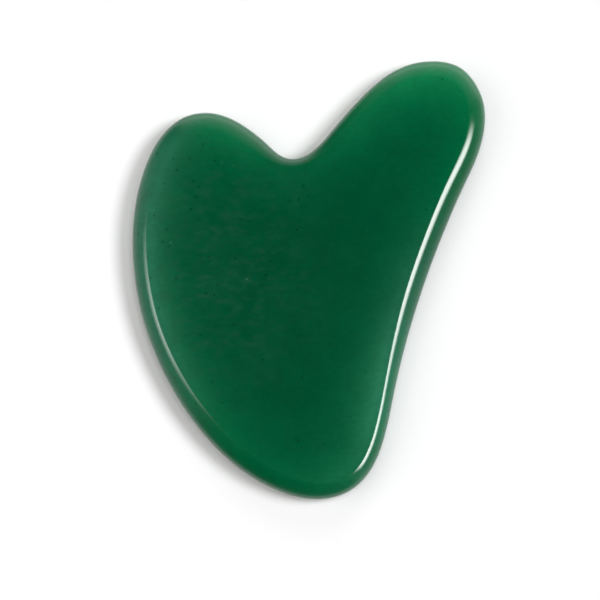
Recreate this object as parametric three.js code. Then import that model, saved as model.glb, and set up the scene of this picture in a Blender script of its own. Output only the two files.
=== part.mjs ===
// A heart-shaped gua sha scraper: one flat plate of polished green stone with a rounded rim.
//
// Millimetres, +Z up. The plate lies on its lower face at z = 0. Its length runs along Y, its
// width along X, and the origin is the middle of its bounding box on that face. The long horn
// reaches to +Y at the right, the round lobe is at the left with the notch between them, and
// the tail points to -Y.

import * as THREE from "three";

// Driving dimensions
const LENGTH = 80;
const WIDTH = 54;
const THICKNESS = 6;
const RIM_RADIUS = THICKNESS / 2; // a full half round, with no straight band between the arcs

// How finely the faceted solid follows its curves
const TURN_PER_FACET = 3.2; // degrees of the outline
const FEWEST_FACETS = 3; // on each curve of the outline
const RIM_FACETS = 12; // from the lower face round to the upper one

const TOP = LENGTH / 2;
const BOTTOM = -LENGTH / 2;
const RIGHT = WIDTH / 2;
const LEFT = -WIDTH / 2;

// The outline at its widest, counter-clockwise from above. Each station is a point of the edge
// and the heading of the edge there, in degrees from +X.
const STATIONS = [
  { name: "horn crest", x: 17.9, y: TOP, heading: 180 },
  { name: "horn tip, inner side", x: 12.7, y: 38.65, heading: 206 },
  { name: "horn flank above the notch", x: 7.0, y: 33.4, heading: 237 },
  { name: "notch, right wall", x: 2.1, y: 23.2, heading: 248.5 },
  { name: "notch bottom", x: -4.4, y: 15.15, heading: 180 },
  { name: "notch, left wall", x: -9.2, y: 17.0, heading: 157 },
  { name: "lobe crest", x: -17.1, y: 19.0, heading: 180 },
  { name: "lobe shoulder", x: -24.5, y: 15.3, heading: 235 },
  { name: "left extreme", x: LEFT, y: 5.3, heading: 270 },
  { name: "upper belly", x: -24.2, y: -8.9, heading: 291 },
  { name: "belly", x: -16.1, y: -22.9, heading: 309.5 },
  { name: "lower belly", x: -0.9, y: -35.8, heading: 331 },
  { name: "tail bottom", x: 14.2, y: BOTTOM, heading: 0 },
  { name: "tail corner", x: 24.6, y: -35.1, heading: 57 },
  { name: "tail, right side", x: 26.6, y: -27.0, heading: 90 },
  { name: "right flank, above the tail", x: 25.8, y: -17.5, heading: 96 },
  { name: "right flank, waist", x: 25.0, y: -1.8, heading: 90 },
  { name: "right flank, below the horn", x: 26.2, y: 18.8, heading: 83.5 },
  { name: "horn, right extreme", x: RIGHT, y: 27.0, heading: 90 },
  { name: "horn shoulder", x: 24.1, y: 36.6, heading: 131 },
];

const radians = THREE.MathUtils.degToRad;

// The turn from one heading to another, in degrees between -180 and 180.
function turnBetween(from, to) {
  return THREE.MathUtils.euclideanModulo(to - from + 180, 360) - 180;
}

// The Bezier curve that leaves one station and reaches the next along their headings. Its
// handles have the length that draws a circular arc when the two headings lie on one.
function curveBetween(from, to) {
  const start = new THREE.Vector2(from.x, from.y);
  const end = new THREE.Vector2(to.x, to.y);
  const turn = Math.abs(radians(turnBetween(from.heading, to.heading)));
  const reach = (start.distanceTo(end) * 2 * Math.tan(turn / 4)) / (3 * Math.sin(turn / 2));
  const ahead = new THREE.Vector2(reach, 0).rotateAround(new THREE.Vector2(), radians(from.heading));
  const behind = new THREE.Vector2(-reach, 0).rotateAround(new THREE.Vector2(), radians(to.heading));
  return new THREE.CubicBezierCurve(start, ahead.add(start), behind.add(end), end);
}

// Points of the whole outline, each with the direction that faces out of the plate there.
function outlinePoints() {
  return STATIONS.flatMap((station, i) => {
    const next = STATIONS[(i + 1) % STATIONS.length];
    const curve = curveBetween(station, next);
    const turn = Math.abs(turnBetween(station.heading, next.heading));
    const facets = Math.max(FEWEST_FACETS, Math.ceil(turn / TURN_PER_FACET));
    return Array.from({ length: facets }, (_, k) => {
      const along = curve.getTangent(k / facets);
      return { at: curve.getPoint(k / facets), out: new THREE.Vector2(along.y, -along.x) };
    });
  });
}

// The plate as rings round the rim, from the edge of the lower face to that of the upper one,
// closed by a flat cap at each end.
function plateGeometry() {
  const outline = outlinePoints();
  const count = outline.length;
  const positions = [];
  const faces = [];
  for (let ring = 0; ring <= RIM_FACETS; ring++) {
    const angle = Math.PI * (ring / RIM_FACETS - 0.5);
    const inset = RIM_RADIUS * (1 - Math.cos(angle));
    const height = RIM_RADIUS * (1 + Math.sin(angle));
    for (const { at, out } of outline) {
      positions.push(at.x - inset * out.x, at.y - inset * out.y, height);
    }
  }
  for (let ring = 0; ring < RIM_FACETS; ring++) {
    for (let i = 0; i < count; i++) {
      const below = ring * count + i;
      const belowNext = ring * count + ((i + 1) % count);
      faces.push(below, belowNext, belowNext + count);
      faces.push(below, belowNext + count, below + count);
    }
  }
  const faceEdge = outline.map(({ at, out }) => at.clone().addScaledVector(out, -RIM_RADIUS));
  for (const [a, b, c] of THREE.ShapeUtils.triangulateShape(faceEdge, [])) {
    const upper = RIM_FACETS * count;
    faces.push(a, c, b);
    faces.push(upper + a, upper + b, upper + c);
  }
  const geometry = new THREE.BufferGeometry();
  geometry.setAttribute("position", new THREE.Float32BufferAttribute(positions, 3));
  geometry.setIndex(faces);
  geometry.computeVertexNormals();
  return geometry;
}

const polishedStone = new THREE.MeshStandardMaterial({
  name: "polished green stone",
  color: 0x005834,
  roughness: 0.12,
  metalness: 0,
});

const stonePlate = new THREE.Mesh(plateGeometry(), polishedStone);
stonePlate.name = "stone_plate";

const guaSha = new THREE.Group();
guaSha.name = "gua_sha_scraper";
guaSha.add(stonePlate);

export default guaSha;
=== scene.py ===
"""A heart-shaped gua sha scraper of polished green stone, on a pale floor under soft light."""

import math

import bpy
import numpy as np
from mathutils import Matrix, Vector, geometry


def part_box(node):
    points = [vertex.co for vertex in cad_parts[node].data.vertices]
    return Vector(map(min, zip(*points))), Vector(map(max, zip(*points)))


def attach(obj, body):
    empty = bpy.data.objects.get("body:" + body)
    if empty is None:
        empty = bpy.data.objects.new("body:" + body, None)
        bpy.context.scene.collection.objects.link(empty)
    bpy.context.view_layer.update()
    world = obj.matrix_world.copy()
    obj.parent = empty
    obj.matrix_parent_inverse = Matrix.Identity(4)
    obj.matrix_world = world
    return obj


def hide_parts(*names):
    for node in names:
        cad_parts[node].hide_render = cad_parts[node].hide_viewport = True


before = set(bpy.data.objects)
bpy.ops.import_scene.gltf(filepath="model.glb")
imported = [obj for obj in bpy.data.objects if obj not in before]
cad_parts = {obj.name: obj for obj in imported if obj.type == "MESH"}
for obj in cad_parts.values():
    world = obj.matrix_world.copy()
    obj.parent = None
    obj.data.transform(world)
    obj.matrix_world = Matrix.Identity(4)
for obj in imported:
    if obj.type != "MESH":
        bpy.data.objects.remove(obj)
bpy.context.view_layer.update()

MM = 0.001
NODE = "stone_plate"

# ---------------------------------------------------------------- camera, floor and light

VIEW_AZIMUTH = math.radians(18)
VIEW_ELEVATION = math.radians(81)
VIEW_DISTANCE = 0.5  # metres from what the camera looks at
LENS_MM = 173.75
SENSOR_MM = 36
# Where the camera looks, on the floor, from the middle of the plate.
AIM = Vector((5.43, -7.083, 0.0)) * MM


def direction(azimuth, elevation):
    """The unit vector at an azimuth from +X, counter-clockwise from above, and an elevation."""
    level = math.cos(elevation)
    return Vector((level * math.cos(azimuth), level * math.sin(azimuth), math.sin(elevation)))


def make_camera():
    """A long lens that looks down on the plate, almost from straight above."""
    data = bpy.data.cameras.new("camera")
    data.sensor_width = SENSOR_MM
    data.lens = LENS_MM
    camera = bpy.data.objects.new("camera", data)
    bpy.context.scene.collection.objects.link(camera)
    back = direction(VIEW_AZIMUTH - math.pi / 2, VIEW_ELEVATION)
    camera.location = AIM + back * VIEW_DISTANCE
    camera.rotation_euler = (-back).to_track_quat("-Z", "Y").to_euler()
    bpy.context.scene.camera = camera


class Nodes:
    """Short calls that add and join shader nodes in one tree."""

    def __init__(self, tree):
        self.tree = tree
        tree.nodes.clear()

    def add(self, kind, inputs=(), **settings):
        node = self.tree.nodes.new(kind)
        for name, value in settings.items():
            setattr(node, name, value)
        for name, value in dict(inputs).items():
            self.feed(node.inputs[name], value)
        return node

    def feed(self, socket, value):
        if isinstance(value, bpy.types.NodeSocket):
            self.tree.links.new(value, socket)
        else:
            socket.default_value = value

    def math(self, operation, a, b=0.0, clamp=False):
        node = self.add("ShaderNodeMath", {0: a, 1: b}, operation=operation, use_clamp=clamp)
        return node.outputs[0]

    def dot(self, a, b):
        node = self.add("ShaderNodeVectorMath", {0: a, 1: b}, operation="DOT_PRODUCT")
        return node.outputs["Value"]

    def ramp(self, value, start, end, low=0.0, high=1.0):
        """low up to start, high from end on, and a smooth step between them."""
        node = self.add(
            "ShaderNodeMapRange",
            {"Value": value, "From Min": start, "From Max": end, "To Min": low, "To Max": high},
            interpolation_type="SMOOTHSTEP",
        )
        return node.outputs[0]

    def mix(self, factor, a, b):
        """The colour a where factor is 0, b where it is 1, and a blend of the two between."""
        node = self.add("ShaderNodeMix", data_type="RGBA")
        self.feed(node.inputs["Factor"], factor)
        self.feed(node.inputs[6], a)
        self.feed(node.inputs[7], b)
        return node.outputs[2]


# Azimuths of lights and walls are counted from the picture's right, counter-clockwise.
# Each soft light that shows in the polish: azimuth and elevation of its middle, half its width
# and half its height as tangents of the angle, how soft its edges are, its strength and colour.
SOFTBOXES = (
    ("key, at the right", -12.5, 50, 0.21, 0.15, 0.10, 18.0, (1.00, 1.00, 1.00)),
    ("fill, at the left", 182.5, 54, 0.155, 0.16, 0.14, 6.5, (1.02, 1.00, 0.98)),
)
# Each pale wall that shows in the polish: azimuth of its middle, the azimuths either side of
# it where it is still full and where it has faded out, and its strength at table height.
WALLS = (
    ("back", 75, 30, 52, 1.7),
    ("left", 178, 15, 40, 0.65),
    ("right", -5, 30, 50, 0.60),
)
WALL_TOP = 0.97  # the sine of the elevation at which all surroundings have faded out
WALL_FALL = 1.1  # how fast the walls darken with height
HORIZON = 0.6  # the strength of the far surroundings at table height, all round
HORIZON_FALL = 6.0  # how fast those darken with height
LEAST_AHEAD = 0.05  # keeps directions of view behind a soft light out of its rectangle
# Each broad light that falls on the stone and the floor but shows in no reflection: azimuth,
# elevation, how wide it looks in degrees, its strength and its colour.
BROAD_LIGHTS = (
    ("from the right", 1.7, 53, 24, 2.35, (0.99, 1.00, 1.01)),
    ("from overhead", 298, 84, 35, 1.20, (1.00, 1.00, 1.00)),
    ("from the left", 189, 42, 55, 1.06, (1.03, 1.00, 0.97)),
    ("from behind", 85, 33, 32, 0.66, (1.00, 1.00, 1.00)),
)
SEEN_BACKGROUND = (1.0, 1.0, 1.0, 1)  # what shows behind the floor


def softbox(n, ray, azimuth, elevation, half_width, half_height, softness):
    """How much of a soft rectangular light a direction of view meets, from 0 to 1."""
    azimuth = math.radians(azimuth) + VIEW_AZIMUTH
    middle = direction(azimuth, math.radians(elevation))
    side = Vector((-math.sin(azimuth), math.cos(azimuth), 0.0))
    upward = middle.cross(side)
    ahead = n.math("MAXIMUM", n.dot(ray, middle[:]), LEAST_AHEAD)
    across = n.math("ABSOLUTE", n.math("DIVIDE", n.dot(ray, side[:]), ahead))
    along = n.math("ABSOLUTE", n.math("DIVIDE", n.dot(ray, upward[:]), ahead))
    within = n.ramp(across, half_width - softness, half_width + softness, 1.0, 0.0)
    height = n.ramp(along, half_height - softness, half_height + softness, 1.0, 0.0)
    return n.math("MULTIPLY", within, height)


def wall(n, level, azimuth, full, faded):
    """How much of a wall a level direction of view meets, from 0 to 1."""
    middle = direction(math.radians(azimuth) + VIEW_AZIMUTH, 0.0)
    near, far = (math.cos(math.radians(a)) for a in (full, faded))
    return n.ramp(n.dot(level, middle[:]), far, near)


def make_world():
    """Pale walls behind and beside the table, darkness above and before it, and the soft lights.
    They show only in reflections: they light nothing, and the camera sees a plain white."""
    world = bpy.data.worlds.new("studio")
    bpy.context.scene.world = world
    world.use_nodes = True
    n = Nodes(world.node_tree)
    ray = n.add("ShaderNodeTexCoord").outputs["Generated"]
    flat = n.add("ShaderNodeVectorMath", {0: ray, 1: (1, 1, 0)}, operation="MULTIPLY").outputs[0]
    level = n.add("ShaderNodeVectorMath", {0: flat}, operation="NORMALIZE").outputs[0]
    fall = n.math("SUBTRACT", WALL_TOP, n.dot(ray, (0, 0, 1)), clamp=True)
    strength = 0.0
    for _, azimuth, full, faded, power in WALLS:
        seen = n.math("MULTIPLY", wall(n, level, azimuth, full, faded), power)
        strength = n.math("ADD", strength, seen)
    strength = n.math("MULTIPLY", strength, n.math("POWER", fall, WALL_FALL))
    horizon = n.math("MULTIPLY", n.math("POWER", fall, HORIZON_FALL), HORIZON)
    strength = n.math("ADD", strength, horizon)
    light = n.add("ShaderNodeCombineColor", {0: strength, 1: strength, 2: strength}).outputs[0]
    for _, azimuth, elevation, width, tall, soft, power, tint in SOFTBOXES:
        seen = softbox(n, ray, azimuth, elevation, width, tall, soft)
        colour = (tint[0] * power, tint[1] * power, tint[2] * power, 1)
        light = n.mix(seen, light, colour)
    lit = n.add("ShaderNodeBackground", {"Color": light, "Strength": 1.0})
    plain = n.add("ShaderNodeBackground", {"Color": SEEN_BACKGROUND, "Strength": 1.0})
    from_camera = n.add("ShaderNodeLightPath").outputs["Is Camera Ray"]
    both = n.add(
        "ShaderNodeMixShader", {0: from_camera, 1: lit.outputs[0], 2: plain.outputs[0]}
    )
    n.add("ShaderNodeOutputWorld", {"Surface": both.outputs[0]})
    world.cycles_visibility.diffuse = False


def make_broad_lights():
    """The lights that light the stone and the floor and cast the soft shadows."""
    for name, azimuth, elevation, width, strength, tint in BROAD_LIGHTS:
        data = bpy.data.lights.new(name, "SUN")
        data.energy = strength
        data.angle = math.radians(width)
        data.color = tint
        light = bpy.data.objects.new(name, data)
        towards = direction(math.radians(azimuth) + VIEW_AZIMUTH, math.radians(elevation))
        light.rotation_euler = towards.to_track_quat("Z", "Y").to_euler()
        light.visible_glossy = False
        bpy.context.scene.collection.objects.link(light)


FLOOR_SIDE = 40.0  # metres
FLOOR_ALBEDO = 0.775
FLOOR_ROUGHNESS = 0.9


def make_floor():
    half = FLOOR_SIDE / 2
    corners = [(-half, -half, 0), (half, -half, 0), (half, half, 0), (-half, half, 0)]
    mesh = bpy.data.meshes.new("floor")
    mesh.from_pydata(corners, [], [(0, 1, 2, 3)])
    floor = bpy.data.objects.new("floor", mesh)
    bpy.context.scene.collection.objects.link(floor)
    material = bpy.data.materials.new("pale_floor")
    material.use_nodes = True
    shader = material.node_tree.nodes["Principled BSDF"]
    shader.inputs["Base Color"].default_value = (FLOOR_ALBEDO, FLOOR_ALBEDO, FLOOR_ALBEDO, 1)
    shader.inputs["Roughness"].default_value = FLOOR_ROUGHNESS
    shader.inputs["Specular IOR Level"].default_value = 0.0
    mesh.materials.append(material)


# ---------------------------------------------------------------- the stone's shape

OUTLINE_POINTS = 560
LEVEL_MM = 0.01  # the CAD's corners this close to mid height are on its widest line
DECIMALS = 3  # corners that agree to this many decimals of a millimetre are one and the same
NOSE_RINGS = 10  # over the nose of the rim, from its widest line
SHOULDER_RINGS = 12  # over its shoulder, up to the arris
ARRIS_RINGS = 12  # across the arris
FACE_RINGS = 3  # from the arris to where the filling of the flat face starts
FACE_START_MM = 4.6  # the inset from the outline where it starts
GRID_MM = 0.8  # spacing of the points inside the flat faces
CLEAR_OF_EDGE = 0.6  # how many spacings those points keep from the filling's edge
MERGE_MM = 1e-7  # points closer than this would be joined

# The rim is two arcs, one after the other: a tight one over the nose and a wide one over the
# shoulder, which the flat face cuts off at the arris.
NOSE_RADIUS_MM = 1.7
NOSE_TURN = math.radians(45)
ARRIS_REACH_MM = 0.30  # how far either side of the arris the polish has softened it
FLATTEST = math.radians(2)  # the least angle at the arris that the softening counts with

# Places on the rim, as shares of the plate's width and length from its lower left corner. At
# each: the arris's inset from the outline in millimetres, how steeply in degrees the shoulder
# meets the face, how much painted deep green light and how much painted milky light glow in
# from the rim, and how strong the painted pale reflection at the very edge is. These painted
# amounts differ round the rim with how the lights fall on it, so that lighting is painted into
# the stone's colour.
RIM = (
    ("horn crest", 0.83, 1.00, 3.5, 3, 1.75, 0.35, 1.0),
    ("horn shoulder", 0.95, 0.96, 3.0, 8, 0.8, 0.0, 0.8),
    ("horn, right extreme", 1.00, 0.84, 3.08, 10, 0.6, 0.0, 0.4),
    ("right flank, below the horn", 0.98, 0.70, 2.91, 16, 0.6, 0.0, 0.1),
    ("right flank, waist", 0.96, 0.48, 2.69, 16, 0.4, 0.8, 0.1),
    ("right flank, above the tail", 0.98, 0.28, 1.9, 16, 1.1, 1.3, 0.1),
    ("tail corner", 0.95, 0.06, 2.05, 16, 0.6, 0.3, 0.1),
    ("tail bottom", 0.77, 0.00, 2.8, 16, 0.4, 0.0, 0.1),
    ("lower belly", 0.48, 0.05, 2.9, 16, 0.7, 0.0, 0.1),
    ("belly", 0.20, 0.21, 2.5, 15, 0.7, 1.1, 0.1),
    ("left extreme", 0.00, 0.57, 2.6, 13, 0.7, 1.4, 0.1),
    ("lobe shoulder", 0.05, 0.69, 3.0, 5, 0.2, 0.5, 0.4),
    ("lobe crest", 0.18, 0.74, 3.6, 3, 1.5, 0.1, 1.0),
    ("lobe, inner side", 0.32, 0.715, 3.3, 5, 0.9, 0.2, 0.8),
    ("notch bottom", 0.42, 0.69, 1.4, 12, 0.2, 0.0, 0.8),
    ("horn, inner flank", 0.60, 0.88, 2.4, 10, 1.1, 0.2, 0.1),
)
EASING = 30  # the rim's values ease between places over one part in so many of the outline
# How far the painted glows from the rim and the painted pale reflection at the very edge reach
# inward.
DEEP_REACH_MM = 3.5  # over this distance, each light fades to 1 / e of what it was
MILKY_REACH_MM = 1.7
EDGE_REACH_MM = 0.25
EVEN_PAINTED_GLOW_MM = 3.2  # inset from the outline within which the deep and milky lights are even
# The names under which the painted lights are kept on the mesh: two painted glows from the rim
# and the painted pale reflection at the very edge.
PAINTED_LIGHT_NAMES = ("painted_deep_glow", "painted_milky_glow", "painted_edge_reflection")


def widest_outline():
    """The CAD plate's outline at mid height, in millimetres, in order round the plate."""
    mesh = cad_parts[NODE].data
    places = np.array([v.co[:] for v in mesh.vertices]) / MM
    low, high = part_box(NODE)
    middle = (low.z + high.z) / 2 / MM
    keys = [tuple(np.round(p, DECIMALS)) for p in places]
    follows = {}
    for edge in mesh.edges:
        a, b = (keys[i] for i in edge.vertices)
        if a != b and max(abs(a[2] - middle), abs(b[2] - middle)) < LEVEL_MM:
            follows.setdefault(a, set()).add(b)
            follows.setdefault(b, set()).add(a)
    start = min(follows)
    chain = [start]
    before = None
    while True:
        ahead = [k for k in follows[chain[-1]] if k != before]
        before = chain[-1]
        if ahead[0] == start or len(chain) > len(follows):
            break
        chain.append(ahead[0])
    outline = np.array(chain)[:, :2]
    following = np.roll(outline, -1, axis=0)
    area = np.sum(outline[:, 0] * following[:, 1] - following[:, 0] * outline[:, 1])
    return outline if area > 0 else outline[::-1]


def closed_spline(knots, values, at):
    """The periodic cubic spline through values at knots, where the last knot is the first again.
    Returns its value and its slope at each place in at."""
    step = np.diff(knots)
    count = len(step)
    system = np.zeros((count, count))
    target = np.zeros((count, values.shape[1]))
    for i in range(count):
        before, here = step[i - 1], step[i]
        system[i, i - 1] += before
        system[i, i] += 2 * (before + here)
        system[i, (i + 1) % count] += here
        rise = (values[(i + 1) % count] - values[i]) / here
        target[i] = 6 * (rise - (values[i] - values[i - 1]) / before)
    bend = np.linalg.solve(system, target)
    i = np.clip(np.searchsorted(knots, at, side="right") - 1, 0, count - 1)
    j = (i + 1) % count
    width = step[i][:, None]
    t = ((at - knots[i]) / step[i])[:, None]
    s = 1 - t
    value = s * values[i] + t * values[j]
    value = value + width**2 / 6 * ((s**3 - s) * bend[i] + (t**3 - t) * bend[j])
    slope = (values[j] - values[i]) / width
    slope = slope + width / 6 * ((1 - 3 * s**2) * bend[i] + (3 * t**2 - 1) * bend[j])
    return value, slope


def even_outline(count):
    """count points along the outline, and the outward direction at each."""
    points = widest_outline()
    gaps = np.linalg.norm(np.roll(points, -1, axis=0) - points, axis=1)
    knots = np.concatenate([[0.0], np.cumsum(gaps)])
    at = np.linspace(0, knots[-1], count, endpoint=False)
    place, slope = closed_spline(knots, points, at)
    slope /= np.linalg.norm(slope, axis=1)[:, None]
    return place, np.stack([slope[:, 1], -slope[:, 0]], axis=1)


def along_rim(place):
    """The values of RIM at each point of the outline, eased between its named places."""
    low, high = place.min(axis=0), place.max(axis=0)
    count = len(place)
    named = []
    for _, across, along, *values in RIM:
        spot = low + (high - low) * (across, along)
        named.append((int(np.argmin(np.linalg.norm(place - spot, axis=1))), *values))
    named.sort()
    index, *columns = zip(*named)
    reach = count // EASING
    kernel = np.hanning(2 * reach + 1)
    kernel /= kernel.sum()
    steps = np.arange(-reach, count + reach)
    lines = [np.interp(steps, index, column, period=count) for column in columns]
    return [np.convolve(line, kernel, "valid") for line in lines]


def rim_section(arris, lean, half):
    """The rim's section at one point of the outline, from the arris's inset, the shoulder's lean
    there in degrees and half the thickness. Returns the insets of its rings, in millimetres,
    and the height of each above mid height."""
    lean = math.radians(lean)
    nose_run = NOSE_RADIUS_MM * (1 - math.cos(NOSE_TURN))
    nose_rise = NOSE_RADIUS_MM * math.sin(NOSE_TURN)
    radius = (arris - nose_run) / (math.cos(NOSE_TURN) - math.sin(lean))
    upright = half - nose_rise - radius * (math.cos(lean) - math.sin(NOSE_TURN))
    turn = np.linspace(0, NOSE_TURN, NOSE_RINGS, endpoint=False)
    nose = NOSE_RADIUS_MM * (1 - np.cos(turn))
    shoulder = np.linspace(nose_run, arris - ARRIS_REACH_MM, SHOULDER_RINGS, endpoint=False)
    across = np.linspace(arris - ARRIS_REACH_MM, arris + ARRIS_REACH_MM, ARRIS_RINGS)
    beyond = np.linspace(arris + ARRIS_REACH_MM, FACE_START_MM, FACE_RINGS + 1)[1:]
    # the first ring is the foot of the upright band, at mid height
    inset = np.concatenate([[0.0], nose, shoulder, across, beyond])
    level = np.clip(NOSE_RADIUS_MM - inset, 0, None)
    over_nose = upright + np.sqrt(NOSE_RADIUS_MM**2 - level**2)
    level = np.clip(math.cos(NOSE_TURN) - (inset - nose_run) / radius, 0, 1)
    over_shoulder = upright + nose_rise + radius * (np.sqrt(1 - level**2) - math.sin(NOSE_TURN))
    rise = np.where(inset < nose_run, over_nose, over_shoulder)
    rise[0] = 0.0
    return inset, softened(inset - arris, rise, lean, half)


def softened(past_arris, rise, lean, half):
    """The heights of a section once the flat face has cut it off and the arris is eased."""
    soft = ARRIS_REACH_MM * math.tan(max(lean, FLATTEST)) / 2
    lowered = np.clip(soft - np.abs(rise - half), 0, None)
    settled = np.clip(past_arris / ARRIS_REACH_MM, 0, 1)
    return np.minimum(rise, half) - lowered**2 / (4 * soft) * (1 - settled)


def painted_glow(place, light, reach, at):
    """The painted glow at each place in at: light from the whole outline, painted into the
    colour and fading with distance. On a straight edge of even light it is that light itself."""
    step = np.linalg.norm(np.roll(place, -1, axis=0) - place, axis=1)
    share = light * step / (2 * reach)
    total = np.empty(len(at))
    for i, spot in enumerate(at):
        total[i] = np.dot(np.exp(-np.linalg.norm(place - spot, axis=1) / reach), share)
    return total


def stone_mesh():
    """The whole plate as one closed mesh in metres, and at each of its points the painted glows
    from the rim and the painted pale reflection at the very edge."""
    low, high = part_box(NODE)
    half = (high.z - low.z) / 2 / MM
    place, out = even_outline(OUTLINE_POINTS)
    # Besides the rim's shape, along_rim gives the amounts of painted light: deep and milky glow
    # from the rim and a pale reflection at the very edge.
    arris, lean, painted_deep, painted_milky, edge = along_rim(place)
    sections = [rim_section(inset, angle, half) for inset, angle in zip(arris, lean)]
    insets, rises = (np.array(part).T for part in zip(*sections))
    rings, count = insets.shape
    inside, triangles = flat_filling(place - out * FACE_START_MM)
    plan = [place - out * inset[:, None] for inset in insets] + [inside]
    lit = [place - out * np.maximum(inset, EVEN_PAINTED_GLOW_MM)[:, None] for inset in insets] + [inside]
    height = np.concatenate([rises.ravel(), np.full(len(inside), half)])
    plan, lit = np.concatenate(plan), np.concatenate(lit)
    # The painted pale reflection at the very edge, fading inward from the outline.
    edge_reflection = edge * np.exp(-insets / EDGE_REACH_MM)
    painted_glows = [
        painted_glow(place, painted_deep, DEEP_REACH_MM, lit),
        painted_glow(place, painted_milky, MILKY_REACH_MM, lit),
        np.concatenate([edge_reflection.ravel(), np.zeros(len(inside))]),
    ]
    # the upper half of the plate, then the lower half without the widest line
    points = np.concatenate(
        [np.column_stack([plan, half + height]), np.column_stack([plan, half - height])[count:]]
    )
    painted_glows = [np.concatenate([values, values[count:]]) for values in painted_glows]
    faces = []
    for i in range(count):
        j = (i + 1) % count
        for ring in range(rings - 1):
            outer, inner = ring * count, (ring + 1) * count
            faces.append((outer + i, outer + j, inner + j, inner + i))
    first = (rings - 1) * count
    faces += [tuple(first + k for k in triangle) for triangle in triangles]
    shift = len(plan) - count
    for face in list(faces):
        faces.append(tuple(k if k < count else k + shift for k in reversed(face)))
    return points * MM, faces, painted_glows


def flat_filling(edge):
    """Points spread over the flat face inside a closed edge, and the triangles that join them
    to it. A triangle's numbers count the edge's points first."""
    low, high = edge.min(axis=0), edge.max(axis=0)
    rows = np.arange(low[1], high[1], GRID_MM * math.sqrt(3) / 2)
    inside = []
    for r, y in enumerate(rows):
        for x in np.arange(low[0] + (r % 2) * GRID_MM / 2, high[0], GRID_MM):
            clear = np.linalg.norm(edge - (x, y), axis=1).min() > GRID_MM * CLEAR_OF_EDGE
            if clear and is_inside(edge, x, y):
                inside.append((x, y))
    corners = [Vector(p) for p in edge] + [Vector(p) for p in inside]
    count = len(edge)
    border = [(i, (i + 1) % count) for i in range(count)]
    found = geometry.delaunay_2d_cdt(corners, border, [], 1, MERGE_MM)
    if len(found[0]) != len(corners):
        raise RuntimeError("the flat face's filling moved a point")
    return np.array(inside), [tuple(f) for f in found[2]]


def is_inside(edge, x, y):
    """Whether a point lies inside a closed edge: a line from it towards +X then crosses the
    edge an odd number of times."""
    ahead = np.roll(edge, -1, axis=0)
    crosses = (edge[:, 1] > y) != (ahead[:, 1] > y)
    rise = np.where(crosses, ahead[:, 1] - edge[:, 1], 1.0)
    at = edge[:, 0] + (y - edge[:, 1]) * (ahead[:, 0] - edge[:, 0]) / rise
    return np.count_nonzero(crosses & (at > x)) % 2 == 1


# ---------------------------------------------------------------- the stone's look

BODY = (0.0000, 0.0510, 0.0194)
# what each painted light adds to the body's colour: the painted deep and milky glows from the
# rim and the painted pale reflection at the very edge
PAINTED_DEEP_GLOW = (0.0, 0.0825, 0.023)
PAINTED_MILKY_GLOW = (0.040, 0.0825, 0.0825)
PAINTED_EDGE_REFLECTION = (0.22, 0.27, 0.24)
IOR = 1.54


def tinted(n, colour, amount):
    """A colour scaled by an amount."""
    node = n.add("ShaderNodeVectorMath", {0: colour}, operation="SCALE")
    n.feed(node.inputs["Scale"], amount)
    return node.outputs[0]


def added(n, a, b):
    return n.add("ShaderNodeVectorMath", {0: a, 1: b}, operation="ADD").outputs[0]


# The grain runs level across the picture, so it lies at the view's azimuth.
GRAIN_ALONG = direction(VIEW_AZIMUTH, 0.0)
GRAIN_ACROSS = direction(VIEW_AZIMUTH + math.pi / 2, 0.0)

# The haze and the specks are thickest at one place in the left half of the stone and thin out
# from there: how far from it they are still full, and where they have gone.
HAZE_AT = (-14.0 * MM, -9.0 * MM, 6 * MM)
HAZE_FULL = 6 * MM
HAZE_GONE = 34 * MM

# Each kind of speck: how many cells a metre (one speck at most in each), the share of the
# cells that hold one, its radius in cells, how far and towards what colour it is mixed.
SPECKS = (
    ("dark", 700.0, 0.40, 0.22, 0.75, (0.0, 0.020, 0.009, 1)),
    ("pale", 480.0, 0.22, 0.11, 0.75, (0.050, 0.150, 0.110, 1)),
    ("brown", 120.0, 0.40, 0.06, 0.80, (0.022, 0.034, 0.017, 1)),
)
SPECKS_FAR_OFF = 0.10  # the share of the specks that is left where the haze has gone
WISP = (0.0135, 0.070, 0.034, 1)

# Each kind of mottling: the scale, detail and roughness of its noise, between which values of
# the noise it changes, and what it gives at each. Clouds and fibres scale the colour, patches
# and wisps mix in WISP, and the gloss is the polish's roughness.
CLOUDS = (190.0, 3.0, 0.55, 0.30, 0.70, 0.95, 1.05)
FIBRES = (1700.0, 3.0, 0.6, 0.30, 0.70, 0.94, 1.06)
PATCHES = (160.0, 2.0, 0.5, 0.35, 0.65, 0.0, 0.10)
WISPS = (900.0, 1.0, 0.5, 0.42, 0.84, 0.0, 0.38)
GLOSS = (260.0, 3.0, 0.5, 0.30, 0.70, 0.085, 0.125)
GRAIN_STRETCH = 0.55  # how fast the grain's noise changes along the grain, against across it

# The polish's faint waves: the scale, detail and roughness of their noise, their strength and
# their depth.
WAVE_SCALE = 320.0
WAVE_DETAIL = 2.0
WAVE_ROUGHNESS = 0.5
WAVE_STRENGTH = 0.2
WAVE_DEPTH = 0.00001  # metres


def noise(n, vector, scale, detail, roughness):
    settings = {"Vector": vector, "Scale": scale, "Detail": detail, "Roughness": roughness}
    return n.add("ShaderNodeTexNoise", settings).outputs["Fac"]


def mottling(n, vector, kind):
    scale, detail, roughness, start, end, low, high = kind
    return n.ramp(noise(n, vector, scale, detail, roughness), start, end, low, high)


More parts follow.
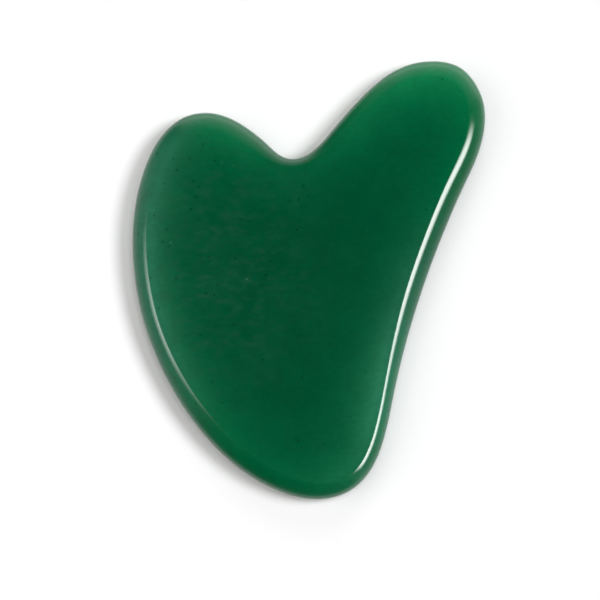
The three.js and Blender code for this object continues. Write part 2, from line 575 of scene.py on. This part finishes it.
def specks(n, place, colour, crowding, kind):
    """Small grains of another mineral, scattered through the stone, fewer where crowding is
    below 1."""
    _, per_metre, share, radius, strength, speck_colour = kind
    cells = n.add("ShaderNodeTexVoronoi", {"Vector": place, "Scale": per_metre})
    chance = n.add("ShaderNodeSeparateColor", {0: cells.outputs["Color"]}).outputs[0]
    held = n.math("LESS_THAN", chance, n.math("MULTIPLY", crowding, share))
    spot = n.ramp(cells.outputs["Distance"], 0.0, radius, strength, 0.0)
    return n.mix(n.math("MULTIPLY", held, spot), colour, speck_colour)


def polished_stone():
    """Green aventurine: darkest in the middle, with painted light glowing in from the rim and a
    painted pale reflection at its very edge, clouded and flecked along its grain, and polished
    to a slightly uneven gloss."""
    material = bpy.data.materials.new("polished_stone")
    material.use_nodes = True
    n = Nodes(material.node_tree)
    colour = BODY
    # Painted light: the glows from the rim and the pale reflection at the very edge, added to
    # the body's colour.
    for name, painted_colour in zip(PAINTED_LIGHT_NAMES, (PAINTED_DEEP_GLOW, PAINTED_MILKY_GLOW, PAINTED_EDGE_REFLECTION)):
        light = n.add("ShaderNodeAttribute", attribute_name=name).outputs["Fac"]
        colour = added(n, colour, tinted(n, painted_colour, light))

    place = n.add("ShaderNodeTexCoord").outputs["Object"]
    along = n.dot(place, GRAIN_ALONG[:])
    across = n.dot(place, GRAIN_ACROSS[:])
    depth = n.dot(place, (0, 0, 1))
    drawn_out = n.math("MULTIPLY", along, GRAIN_STRETCH)
    grain = n.add("ShaderNodeCombineXYZ", {0: drawn_out, 1: across, 2: depth}).outputs[0]
    apart = n.add("ShaderNodeVectorMath", {0: place, 1: HAZE_AT}, operation="DISTANCE")
    haze = n.ramp(apart.outputs["Value"], HAZE_FULL, HAZE_GONE, 1.0, 0.0)

    clouds = mottling(n, place, CLOUDS)
    fibres = mottling(n, grain, FIBRES)
    colour = tinted(n, colour, n.math("MULTIPLY", clouds, fibres))
    patches = mottling(n, place, PATCHES)
    wisps = mottling(n, grain, WISPS)
    hazed = n.math("MULTIPLY", n.math("ADD", patches, wisps), haze)
    colour = n.mix(hazed, colour, WISP)
    crowding = n.ramp(haze, 0.0, 1.0, SPECKS_FAR_OFF, 1.0)
    for kind in SPECKS:
        colour = specks(n, place, colour, crowding, kind)

    gloss = mottling(n, place, GLOSS)
    waves = noise(n, place, WAVE_SCALE, WAVE_DETAIL, WAVE_ROUGHNESS)
    relief = {"Height": waves, "Strength": WAVE_STRENGTH, "Distance": WAVE_DEPTH}
    bump = n.add("ShaderNodeBump", relief)
    shader = n.add("ShaderNodeBsdfPrincipled", {"Base Color": colour, "Roughness": gloss})
    n.feed(shader.inputs["Normal"], bump.outputs[0])
    shader.inputs["IOR"].default_value = IOR
    n.add("ShaderNodeOutputMaterial", {"Surface": shader.outputs[0]})
    return material


def make_stone():
    points, faces, painted_glows = stone_mesh()
    mesh = bpy.data.meshes.new("polished_stone_plate")
    mesh.from_pydata(points.tolist(), [], faces)
    mesh.update()
    # The painted glows and the painted edge reflection, kept on the mesh for the material to
    # read.
    for name, values in zip(PAINTED_LIGHT_NAMES, painted_glows):
        attribute = mesh.attributes.new(name, "FLOAT", "POINT")
        attribute.data.foreach_set("value", values.astype(np.float32))
    mesh.shade_smooth()
    mesh.materials.append(polished_stone())
    stone = bpy.data.objects.new("polished_stone_plate", mesh)
    bpy.context.scene.collection.objects.link(stone)
    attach(stone, "root")
    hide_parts(NODE)


# ---------------------------------------------------------------- the scene

bpy.context.scene.view_settings.view_transform = "Standard"
make_camera()
make_floor()
make_world()
make_broad_lights()
make_stone()
